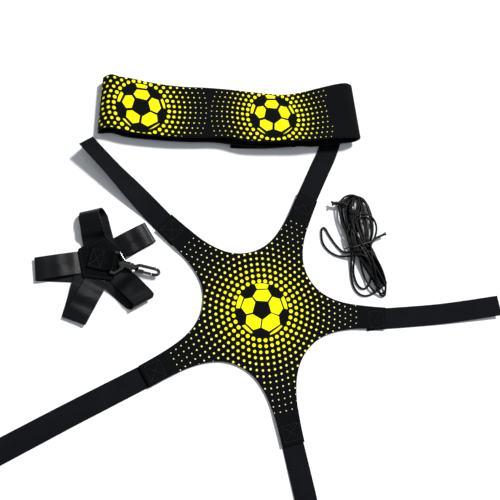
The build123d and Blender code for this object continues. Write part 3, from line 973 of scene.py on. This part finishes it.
def panel_low(x, y):
    ripple = 0.5 + 0.5 * sin(x / 21 + 1.3) * sin(y / 26 - 0.4)
    return arm_rise(x, y) + 0.35 * ripple


def panel_high(x, y):
    return panel_low(x, y) + PANEL_THICK


panel = slab("harness_neoprene", star_outline(), (0.0, 0.0), panel_low, panel_high, edge=0.8, rings=46,
             material=PANEL_MATERIAL)
finish_piece(panel, "harness", "neoprene_print", "harness_panel")


def arm_stitches(index):
    """A sewn box with a cross through it, on top of an arm's end."""
    corners = []
    for along, side in ((-22, -9.5), (-4, -9.5), (-4, 9.5), (-22, 9.5)):
        plan = tips[index] + polar(along, STRAP_ANGLES[index]) + polar(side, STRAP_ANGLES[index] + 90)
        corners.append(plan)

    def sewn(a, b):
        line = []
        for k in range(9):
            plan = a.lerp(b, k / 8)
            line.append((plan.x, plan.y, panel_high(plan.x, plan.y) + 0.02))
        return line

    a, b, c, d = corners
    return [sewn(a, b), sewn(b, c), sewn(c, d), sewn(d, a), sewn(a, c), sewn(b, d)]


arm_lines = [line for index in range(5) for line in arm_stitches(index)]
finish_piece(stitching("arm_stitching", arm_lines), "harness", "neoprene_print")


# ---- straps and their hook tapes ----
# plan bends of the straps that bend: (share of its length, offset to its left)
FLAT = [(0.0, 0.0), (1.0, 0.0)]
STRAP_BENDS = {
    3: [(0.0, 0.0), (0.25, -1.2), (0.55, -1.6), (1.0, 0.8)],
    4: [(0.0, 0.0), (0.5, 0.4), (1.0, 0.0)],
    5: [(0.0, 0.0), (0.5, -0.5), (1.0, 0.0)],
}
# middle height of each strap from its fold: (share of its length, height)
STRAP_HEIGHTS = {
    1: [(0.0, 0.7), (0.12, 1.15), (0.42, 4.8), (0.70, 8.2), (1.0, 12.6)],
    3: [(0.0, 0.7), (0.12, 0.8), (0.45, 1.4), (0.72, 3.4), (1.0, 6.6)],
    4: [(0.0, 0.7), (0.3, 1.2), (0.5, 0.95), (0.66, 1.68), (0.84, 1.68), (1.0, 1.68)],
    5: [(0.0, 0.7), (0.3, 1.3), (0.5, 0.95), (0.67, 1.68), (0.84, 1.68), (1.0, 1.68)],
}
# roll of each strap about its own length, left edge up: (share of its length, degrees)
STRAP_ROLLS = {1: [(0.0, 0.0), (0.16, 1.0), (0.42, 18.0), (0.62, 31.0), (1.0, 34.0)]}


# strap 2 turns under the belt
TURNING_STRAP = 2
TURN_AT = 78.0
TURNED_ANGLE = 79.0
TURN_EASE = 14.0


def strap_line(number):
    """Middle line of a strap from its sewn root to its end, as control points."""
    angle, length, fold = STRAP_ANGLES[number - 1], STRAP_LENGTHS[number - 1], folds[number - 1]
    backward = (-SEWN_OVERLAP - HINGE_GAP + 0.5, -HINGE_GAP - 12, -HINGE_GAP)
    points = [raised(polar(distance, angle, fold), LYING) for distance in backward]
    if number == TURNING_STRAP:
        turn = polar(TURN_AT, angle, fold)
        end = polar(length - TURN_AT, TURNED_ANGLE, turn)
        plans = [polar(20, angle, fold), polar(40, angle, fold), polar(-TURN_EASE, angle, turn),
                 polar(TURN_EASE, TURNED_ANGLE, turn), turn.lerp(end, 0.6), end]
        return points + [raised(plan, LYING) for plan in plans]
    bend = curve_through([(s * 100, o, 0) for s, o in STRAP_BENDS.get(number, FLAT)])[0]
    for share, height in STRAP_HEIGHTS[number]:
        place = polar(length * share, angle, fold) + polar(bend(share).y, angle + 90)
        points.append(raised(place, height))
    return points


def strap_frame(at, share, total, rolls):
    """A function from distance along a strap to its place, leftward and upward directions."""
    roll_at = curve_through([(s * 100, degrees_up, 0) for s, degrees_up in rolls])[0]

    def at_distance(u):
        here = at(share(u))
        ahead = (at(share(u + 0.5)) - at(share(u - 0.5))).normalized()
        level = Vector((-ahead.y, ahead.x, 0)).normalized()
        up = ahead.cross(level)
        strap_share = (u - SEWN_OVERLAP) / (total - SEWN_OVERLAP)
        roll = radians(roll_at(strap_share).y)
        return here, level * cos(roll) + up * sin(roll), up * cos(roll) - level * sin(roll), ahead

    return at_distance


def tape_along(name, points, width, thick, edge, material, step=2.0, count=10, lift=0.0, start=0.0, end=None,
               rolls=FLAT):
    """A flat tape along a line. lift moves it off the line, along its normal."""
    at, share, total = measured_line(points)
    end = total if end is None else end
    frame_at = strap_frame(at, share, total, rolls)

    def point(u, v):
        here, left, up, _ = frame_at(u)
        return here + left * v + up * lift

    us = evenly(start, end, step)
    us[1:1] = [start + 1.5 * edge]
    us[-1:-1] = [end - 1.5 * edge]
    return cloth_piece(name, point, us, across(width, edge, count), thick, edge, material)


# each strap's hook tape: (its length, its distance from the strap's end)
HOOK_TAPES = {1: (32.0, 3.0), 2: (45.0, 4.0), 3: (32.0, 3.0), 4: (45.0, 4.0), 5: (45.0, 4.0)}
HOOK_WIDTH = 22.0
HOOK_THICK = 0.5
HOOK_PITCH = 1.7
HOOK_TALL = 0.4
# a bent hook from its foot: (lean along the tape, drop, half its thickness)
HOOK_STATIONS = ((0.0, 0.0, 0.17), (0.04, 0.22, 0.14), (0.2, HOOK_TALL, 0.11), (0.42, 0.26, 0.07))


def hook_field(name, frame_at, start, end, width, down):
    """Rows of small bent hooks under a tape, or over it where down is negative."""
    vertices, faces = [], []
    rows = int((end - start) / HOOK_PITCH)
    columns = int((width - 2) / HOOK_PITCH)
    for i in range(rows):
        u = start + (i + 0.5) * HOOK_PITCH
        here, level, up, ahead = frame_at(u)
        side = -1 if down < 0 else 1
        for j in range(columns):
            v = (j - (columns - 1) / 2) * HOOK_PITCH + (0.4 if i % 2 else -0.4)
            base = here + level * v - up * down
            faces += ring_faces(len(vertices), len(HOOK_STATIONS), 4)
            for out, drop, size in HOOK_STATIONS:
                centre = base - up * (drop * side) + ahead * out
                for a, b in ((size, 0), (0, size), (-size, 0), (0, -size)):
                    vertices.append(centre + level * a + ahead * b)
    return build(name, vertices, faces, HOOK_MATERIAL)


for number in range(1, 6):
    line = strap_line(number)
    rolls = STRAP_ROLLS.get(number, FLAT)
    strap = tape_along(f"strap_{number}_webbing", line, STRAP_WIDTH, STRAP_THICK, STRAP_EDGE, STRAP_MATERIAL,
                       rolls=rolls)
    if number == TURNING_STRAP:
        # its hook tape is on its upper side
        body, side = "harness", -1
        finish_piece(strap, body, "strap_webbing", f"strap_{number}", f"strap_{number}_sewn_end")
    else:
        body, side = f"strap_{number}", 1
        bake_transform(strap)
        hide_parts(f"strap_{number}", f"strap_{number}_sewn_end")
    at, share, total = measured_line(line)
    length, from_end = HOOK_TAPES[number]
    end = total - from_end
    start = end - length
    name = f"strap_{number}_hook_tape_woven"
    tape = tape_along(name, line, HOOK_WIDTH, HOOK_THICK, 0.2, HOOK_MATERIAL, step=2.5, count=8,
                      lift=-side * (STRAP_THICK + HOOK_THICK) / 2, start=start, end=end, rolls=rolls)
    hooks = hook_field(f"strap_{number}_hooks", strap_frame(at, share, total, rolls), start + 1, end - 1,
                       HOOK_WIDTH, side * (STRAP_THICK / 2 + HOOK_THICK))
    finish_piece(join(name, [tape, hooks]), body, "hook_tape", f"strap_{number}_hook_tape")


# ---- waist belt ----
BELT_THICK = 3.0
BELT_WIDTH = 70.0
# (near edge, far edge) of the band's middle surface, from its upper lapped end round to its lower one
BELT_EDGES = [
    ((42.0, 204.0, 6.9), (40.0, 270.0, 6.9)), ((0.0, 199.5, 6.9), (0.0, 266.5, 6.9)),
    ((-36.0, 199.5, 6.9), (-36.0, 265.5, 6.9)), ((-60.0, 201.0, 4.6), (-58.0, 264.8, 4.4)),
    ((-100.0, 198.2, 4.4), (-100.0, 264.2, 4.4)), ((-145.0, 197.6, 4.2), (-140.0, 264.5, 4.4)),
    ((-166.0, 198.8, 3.4), (-165.0, 267.5, 2.6)), ((-179.0, 202.0, 2.6), (-180.0, 269.4, 2.1)),
    ((-188.0, 201.4, 2.3), (-188.0, 269.5, 2.8)), ((-193.6, 199.0, 4.2), (-191.6, 268.4, 5.4)),
    ((-194.6, 198.6, 8.4), (-192.4, 267.4, 9.4)), ((-191.0, 200.6, 13.0), (-190.8, 267.6, 13.0)),
    ((-184.0, 202.8, 15.0), (-184.5, 270.4, 14.6)), ((-175.5, 201.9, 15.2), (-175.0, 269.0, 14.2)),
    ((-160.0, 199.4, 15.2), (-161.7, 268.4, 13.8)), ((-134.9, 198.4, 15.2), (-136.0, 265.4, 13.8)),
    ((-104.2, 198.8, 15.2), (-104.0, 264.8, 13.6)), ((-75.2, 201.2, 15.2), (-72.3, 267.0, 13.4)),
    ((-46.0, 204.0, 15.8), (-44.0, 268.2, 13.0)), ((-18.0, 200.8, 17.8), (-20.0, 268.4, 12.4)),
    ((0.6, 201.8, 19.2), (-2.0, 268.6, 12.2)), ((31.0, 205.0, 20.6), (24.0, 269.4, 12.4)),
    ((55.0, 207.8, 21.0), (46.0, 274.2, 13.4)), ((81.0, 213.0, 21.0), (71.0, 282.6, 15.6)),
    ((104.0, 216.4, 20.6), (93.0, 289.6, 17.8)), ((117.8, 218.8, 19.4), (106.0, 292.4, 18.6)),
    ((123.4, 220.0, 15.8), (113.2, 292.6, 16.0)), ((125.0, 220.4, 11.4), (116.0, 292.4, 11.6)),
    ((122.4, 219.4, 7.0), (114.4, 291.4, 7.6)), ((114.0, 217.4, 5.2), (106.0, 289.8, 5.4)),
    ((94.0, 213.8, 4.6), (84.0, 286.5, 4.6)), ((68.0, 208.0, 4.6), (62.0, 279.0, 4.6)),
    ((46.0, 207.4, 1.86), (44.0, 274.6, 1.86)), ((10.0, 201.2, 1.68), (10.0, 270.4, 1.68)),
    ((-24.0, 198.0, 1.6), (-24.0, 267.4, 1.6)), ((-39.0, 197.2, 1.6), (-39.0, 266.4, 1.6)),
]
belt_middles = [(Vector(near) + Vector(far)) / 2 for near, far in BELT_EDGES]
belt_share, belt_total = by_length(curve_through(belt_middles)[0], 1200)
belt_near, belt_far = (curve_through([pair[which] for pair in BELT_EDGES], chord_knots(belt_middles))[0]
                       for which in (0, 1))


def belt_point(u, v):
    share = belt_share(u)
    return belt_near(share).lerp(belt_far(share), v / BELT_WIDTH)


FRONT_ABOVE = 12.0


def front_length_at(x):
    """Distance along the band where the middle line of its front passes a plan x."""
    best = min(range(0, int(belt_total)), key=lambda u: abs(belt_point(u, BELT_WIDTH / 2).x - x)
               + (1000 if belt_point(u, BELT_WIDTH / 2).z < FRONT_ABOVE else 0))
    return float(best)


BALL_X = (-147.8, 10.5)
BALL_ACROSS = (33.4, 36.4)
BALL_SCALE = 0.94
BELT_LAST_RING = 83.0
BELT_TWIST = 0.5
PRINT_REACH = 74.0
PATCH_INSET = 0.7
# the band is a little narrower than its cloth width, so its print is drawn taller
BALL_TALL = 1.08
belt_balls = [(front_length_at(x), v) for x, v in zip(BALL_X, BALL_ACROSS)]
BELT_MATERIAL = printed_neoprene("belt_neoprene", belt_balls, BALL_SCALE, BELT_LAST_RING, BELT_TWIST,
                                 PATCH_INSET, BALL_TALL, belt_balls[1][0] + PRINT_REACH)
belt_edge = 0.8
belt_vs = [0.0] + evenly(2.0, BELT_WIDTH - 2.0, 3.3) + [BELT_WIDTH]
belt_us = along_band(belt_total, 1.5, 4.0, 2.5)
belt = cloth_piece("belt_neoprene_band", belt_point, belt_us, belt_vs, BELT_THICK, belt_edge, BELT_MATERIAL)
finish_piece(belt, "belt", "belt_neoprene", "belt_band")


# (length, width) of the tapes sewn to the belt, which lie along its overlap
BELT_TAPES = {"belt_loop_tape": (75.0, 54.0), "belt_hook_tape": (75.0, 54.0),
              "belt_anchor_loop": (34.0, 25.0)}
TAPE_ANGLE = 3.5


def flat_tape(name, node, material):
    """A sewn tape that fills a CAD node's box, with rounded rim."""
    low, high = (Vector(corner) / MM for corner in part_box(node))
    middle = (low + high) / 2
    length, width = BELT_TAPES[node]
    line = [raised(polar(share * length, TAPE_ANGLE, middle), middle.z) for share in (-0.5, 0.0, 0.5)]
    return tape_along(name, line, width, high.z - low.z, 0.35, material, step=3.0, count=14)


loop_tape = flat_tape("belt_loop_tape_napped", "belt_loop_tape", LOOP_MATERIAL)
finish_piece(loop_tape, "belt", "loop_tape", "belt_loop_tape")
hook_tape = flat_tape("belt_hook_tape_woven", "belt_hook_tape", HOOK_MATERIAL)
finish_piece(hook_tape, "belt", "hook_tape", "belt_hook_tape")
anchor = flat_tape("belt_anchor_loop_webbing", "belt_anchor_loop", STRAP_MATERIAL)
finish_piece(anchor, "belt", "strap_webbing", "belt_anchor_loop")
round(belt_total * MM, 3)


# ---- connector: two pentagon patches, five webbing loops and the hook's holder ----
CONNECTOR = Vector((-184.1, 49.9))
PATCH_RADIUS = 27.0
PATCH_ANGLE = 85.0
PATCH_CORNER = 2.0
PATCH_THICK = 1.5
PATCH_BORDER = 2.4
TOP_PATCH_BASE = 4.0
SEAM_INSET = 3.0
SEAM_SUNK = 0.15


def pentagon(radius, corner, steps=5, side_steps=7):
    """Anticlockwise outline of a regular pentagon with rounded corners, round the connector."""
    outline = []
    apex = [polar(radius - corner / cos(radians(36)), PATCH_ANGLE + 72 * k, CONNECTOR) for k in range(5)]
    for k in range(5):
        middle = PATCH_ANGLE + 72 * k
        arc = [polar(corner, middle - 36 + 72 * n / steps, apex[k]) for n in range(steps + 1)]
        outline += arc
        after = polar(corner, middle + 36, apex[(k + 1) % 5])
        outline += [arc[-1].lerp(after, n / side_steps) for n in range(1, side_steps)]
    return outline


def patch_crown(base, thick, border):
    """Height of a patch's upper face: a shallow groove runs inside its border."""
    def height(x, y):
        best = PATCH_RADIUS
        for k in range(5):
            ahead = polar(1.0, PATCH_ANGLE + 36 + 72 * k)
            best = min(best, PATCH_RADIUS * cos(radians(36)) - (Vector((x, y)) - CONNECTOR).dot(ahead))
        groove = max(0.0, 1 - abs(best - border) / 0.9)
        return base + thick - 0.28 * groove + 0.25 * smooth(best / 8)
    return height


def patch_cloth(node, base, crown_base):
    outline = pentagon(PATCH_RADIUS, PATCH_CORNER)
    patch = slab(f"{node}_cloth", outline, CONNECTOR, lambda x, y: base,
                 patch_crown(crown_base, PATCH_THICK, PATCH_BORDER), edge=0.5, rings=24,
                 material=PATCH_MATERIAL)
    finish_piece(patch, "connector", "patch_fabric", node)


patch_cloth("connector_base_patch", 0.02, 0.0)
patch_cloth("connector_top_patch", TOP_PATCH_BASE, TOP_PATCH_BASE)

seam_height = TOP_PATCH_BASE + PATCH_THICK - SEAM_SUNK
seam = [raised(p, seam_height) for p in pentagon(PATCH_RADIUS - SEAM_INSET, 1.0, 3, 4)]
finish_piece(stitching("connector_seam", [seam + seam[:1]], 0.24), "connector", "patch_fabric")

# each loop: the plan middles of its upper layer (root, tip) and lower layer (tip, root), the height of
# its fold, how high its upper layer bulges before it, the lower layer's height at its root, how far the
# fold is turned in plan, how far its upper layer is tipped sideways and how deep its ripples are
LOOPS = [
    ((-192.0, 70.0), (-199.6, 97.8), (-191.4, 98.8), (-183.4, 72.0), 15.4, 2.2, 1.6, -4.0, 28.0, 0.5),
    ((-165.0, 64.6), (-133.4, 83.6), (-133.4, 83.6), (-164.0, 62.6), 6.4, 0.6, 1.2, 0.0, 0.0, 0.25),
    ((-160.5, 31.5), (-135.8, 7.2), (-144.8, 5.6), (-167.5, 25.6), 12.0, 1.0, 1.4, -15.0, 0.0, 0.5),
    ((-189.0, 22.0), (-206.6, -16.4), (-208.6, -15.6), (-200.6, 22.0), 6.0, 1.3, 2.3, 0.0, 0.0, 0.6),
    ((-206.8, 45.7), (-249.2, 36.6), (-249.4, 36.4), (-207.5, 36.5), 6.4, 0.5, 0.9, 0.0, 0.0, 0.2),
]
LOOP_THICK = 1.0
LOOP_RIPPLE = 19.0


def loop_piece(number, upper_root, upper_tip, lower_tip, lower_root, height, bulge, root_height, turned,
               tipped, ripple):
    """One webbing loop: out along the floor, round its fold and back over itself to the patches."""
    upper_root, upper_tip = Vector(upper_root), Vector(upper_tip)
    lower_root, lower_tip = Vector(lower_root), Vector(lower_tip)
    floor, roof = LOOP_THICK / 2 + 0.2, height - LOOP_THICK / 2
    radius = (roof - floor) / 2
    ahead_low = (lower_tip - lower_root).normalized()
    ahead_high = (upper_tip - upper_root).normalized()
    out = polar(1.0, turned, (0, 0))
    bent = (ahead_low + ahead_high).normalized()
    bent = Vector((bent.x * out.x - bent.y * out.y, bent.x * out.y + bent.y * out.x))
    inner_low = lower_root - ahead_low * 8
    inner_high = upper_root - ahead_high * 8
    # (plan, height, share from the lower layer's direction to the upper's, share of turn, of tip)
    stations = [(inner_low, 2.15, 0.0, 0.0, 0.0), (lower_root, 2.05, 0.0, 0.0, 0.0),
                (lower_root + ahead_low * 5, root_height, 0.0, 0.0, 0.0),
                (lower_root.lerp(lower_tip, 0.45), floor, 0.0, 0.4, 0.0), (lower_tip, floor, 0.0, 1.0, 0.0)]
    for step in range(1, 8):
        turn = pi * step / 8
        plan = lower_tip.lerp(upper_tip, step / 8) + bent * (radius * sin(turn) * 0.9)
        share = step / 8
        stations.append((plan, floor + radius * (1 - cos(turn)), share, 1.0, smooth(share)))
    stations += [(upper_tip, roof, 1.0, 1.0, 1.0),
                 (upper_tip.lerp(upper_root, 0.35), roof + bulge * 0.4, 1.0, 0.6, 0.9),
                 (upper_tip.lerp(upper_root, 0.62), roof * 0.7 + 3.0 * 0.3 + bulge, 1.0, 0.3, 0.55),
                 (upper_root + ahead_high * 4, max(roof * 0.35, 4.0) + 0.4, 1.0, 0.0, 0.1),
                 (upper_root, 3.5, 1.0, 0.0, 0.0), (inner_high, 3.4, 1.0, 0.0, 0.0)]
    line = [raised(plan, z) for plan, z, *_ in stations]
    at, share, total = measured_line(line)
    knots = chord_knots(line)

    def side_at(t):
        """The loop's sideways direction at a share of its chord length, and the ripple there."""
        place = t * knots[-1]
        k = max(i for i in range(len(knots)) if knots[i] <= place + 1e-6)
        k = min(k, len(knots) - 2)
        s = (place - knots[k]) / (knots[k + 1] - knots[k])
        layer, turn, tip = (stations[k][n] * (1 - s) + stations[k + 1][n] * s for n in (2, 3, 4))
        low_side = Vector((-ahead_low.y, ahead_low.x))
        high_side = Vector((-ahead_high.y, ahead_high.x))
        plan = low_side.lerp(high_side, layer).normalized()
        plan.rotate(Matrix.Rotation(radians(turned * turn), 2))
        roll = -radians(tipped * tip)
        crest = 4 * layer * (1 - turn) * turn * ripple * sin(tau * place / LOOP_RIPPLE)
        return Vector((plan.x * cos(roll), plan.y * cos(roll), sin(roll))), crest

    def point(u, v):
        t = share(u)
        side, crest = side_at(t)
        return at(t) + side * v + Vector((0, 0, crest))

    edge = 0.4
    us = along_band(total, 0.7, 2.0, 1.3)
    vs = [-v for v in across(STRAP_WIDTH, edge, 12)][::-1]
    return cloth_piece(f"connector_loop_{number}_webbing", lambda u, v: point(u, -v), us, vs, LOOP_THICK,
                       edge, SATIN_MATERIAL)


for number, data in enumerate(LOOPS, start=1):
    piece = loop_piece(number, *data)
    finish_piece(piece, "connector", "satin_webbing", f"connector_loop_{number}")

# the holder: webbing folded round the hook's bar and sewn down on the top patch
HOOK_ANGLE = -11.5
BAR_OFFSET = 14.5
BAR_HEIGHT = 8.5
HOLDER_THICK = 1.1
HOLDER_WIDTH = 24.0
HOLDER_EDGE = 0.4
# the bar's radius and the play round it, and the top patch's upper face
BAR_RADIUS = 1.5
BAR_PLAY = 0.2
PATCH_TOP = 5.6
holder_radius = BAR_RADIUS + BAR_PLAY + HOLDER_THICK / 2
holder_low = PATCH_TOP + HOLDER_THICK / 2


def holder_place(u, z):
    return raised(CONNECTOR + polar(u, HOOK_ANGLE), z)


holder_line = [holder_place(-11.0, holder_low), holder_place(0.0, holder_low), holder_place(9.0, holder_low),
               holder_place(14.0, holder_low + 0.05)]
for step in range(0, 7):
    turn = -pi / 2 + pi * step / 6
    holder_line.append(holder_place(BAR_OFFSET + holder_radius * cos(turn),
                                    BAR_HEIGHT + holder_radius * sin(turn)))
holder_line += [holder_place(13.0, BAR_HEIGHT + 1.4), holder_place(8.5, holder_low + HOLDER_THICK + 0.7),
                holder_place(3.0, holder_low + HOLDER_THICK + 0.1),
                holder_place(-12.4, holder_low + HOLDER_THICK + 0.1)]
holder_at, holder_share, holder_total = measured_line(holder_line)


def holder_point(u, v):
    here = holder_at(holder_share(u))
    level = polar(1.0, HOOK_ANGLE + 90)
    along = (Vector((here.x, here.y)) - CONNECTOR).dot(polar(1.0, HOOK_ANGLE))
    squeeze = 1.0 - 0.17 * smooth((along - 3) / 10)
    return here + raised(level, 0.0) * (v * squeeze)


holder_us = along_band(holder_total, 0.7, 1.8, 1.2)
holder_vs = across(HOLDER_WIDTH, HOLDER_EDGE, 12)
holder = cloth_piece("hook_holder_folded", lambda u, v: holder_point(u, -v), holder_us,
                     holder_vs, HOLDER_THICK, HOLDER_EDGE, PATCH_MATERIAL)
finish_piece(holder, "connector", "satin_webbing", "hook_holder_webbing")


def holder_seam(u, v):
    plan = CONNECTOR + polar(u, HOOK_ANGLE) + polar(v, HOOK_ANGLE + 90)
    return raised(plan, holder_low + 1.5 * HOLDER_THICK + 0.16)


box = [(-10.4, -9.6), (2.0, -9.6), (2.0, 9.6), (-10.4, 9.6)]
box_lines = [[holder_seam(*a), holder_seam(*b)] for a, b in zip(box, box[1:] + box[:1])]
box_lines += [[holder_seam(*box[0]), holder_seam(*box[2])], [holder_seam(*box[1]), holder_seam(*box[3])]]
finish_piece(stitching("holder_stitching", box_lines, 0.3), "connector", "satin_webbing")


# ---- swivel snap hook ----
def dress(node, material):
    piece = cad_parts[node]
    piece.data.materials.clear()
    piece.data.materials.append(material)
    for polygon in piece.data.polygons:
        polygon.material_index = 0


for node in ("swivel_eye", "hook_body", "hook_gate"):
    dress(node, METAL_MATERIAL)
dress("gate_pin", STEEL_MATERIAL)

SPRING_COILS = 3
SPRING_RADIUS = 1.0
SPRING_WIRE = 0.26
SPRING_STEPS = 12
SPRING_FROM = 0.35
SPRING_RISE = 0.62
HOOK_ROLL = 60.0
GATE_PIVOT = (26.2, -4.4)
hook_u = Vector((cos(radians(HOOK_ANGLE)), sin(radians(HOOK_ANGLE)), 0))
level_v = Vector((-sin(radians(HOOK_ANGLE)), cos(radians(HOOK_ANGLE)), 0))
hook_v = level_v * cos(radians(HOOK_ROLL)) + Vector((0, 0, 1)) * sin(radians(HOOK_ROLL))
hook_w = hook_u.cross(hook_v)
hook_origin = raised(CONNECTOR + polar(BAR_OFFSET, HOOK_ANGLE), BAR_HEIGHT)
spring_points = []
for k in range(SPRING_COILS * SPRING_STEPS + 1):
    turn = tau * k / SPRING_STEPS
    rise = SPRING_FROM + SPRING_RISE * k / (SPRING_COILS * SPRING_STEPS)
    spring_points.append(hook_origin + hook_u * (GATE_PIVOT[0] + SPRING_RADIUS * cos(turn))
                         + hook_v * (GATE_PIVOT[1] + SPRING_RADIUS * sin(turn)) + hook_w * rise)
spring = tube("gate_spring_coil", spring_points, SPRING_WIRE / 2, STEEL_MATERIAL, step=0.25, sides=6)
finish_piece(spring, "hook", "spring_steel", "gate_spring")


# ---- floor ----
FLOOR_HALF = 3000.0
FLOOR_LEVEL = -0.02
corner_list = [(-1, -1), (1, -1), (1, 1), (-1, 1)]
floor = build("floor", [(x * FLOOR_HALF, y * FLOOR_HALF, FLOOR_LEVEL) for x, y in corner_list],
              [(0, 1, 2, 3)], FLOOR_MATERIAL)
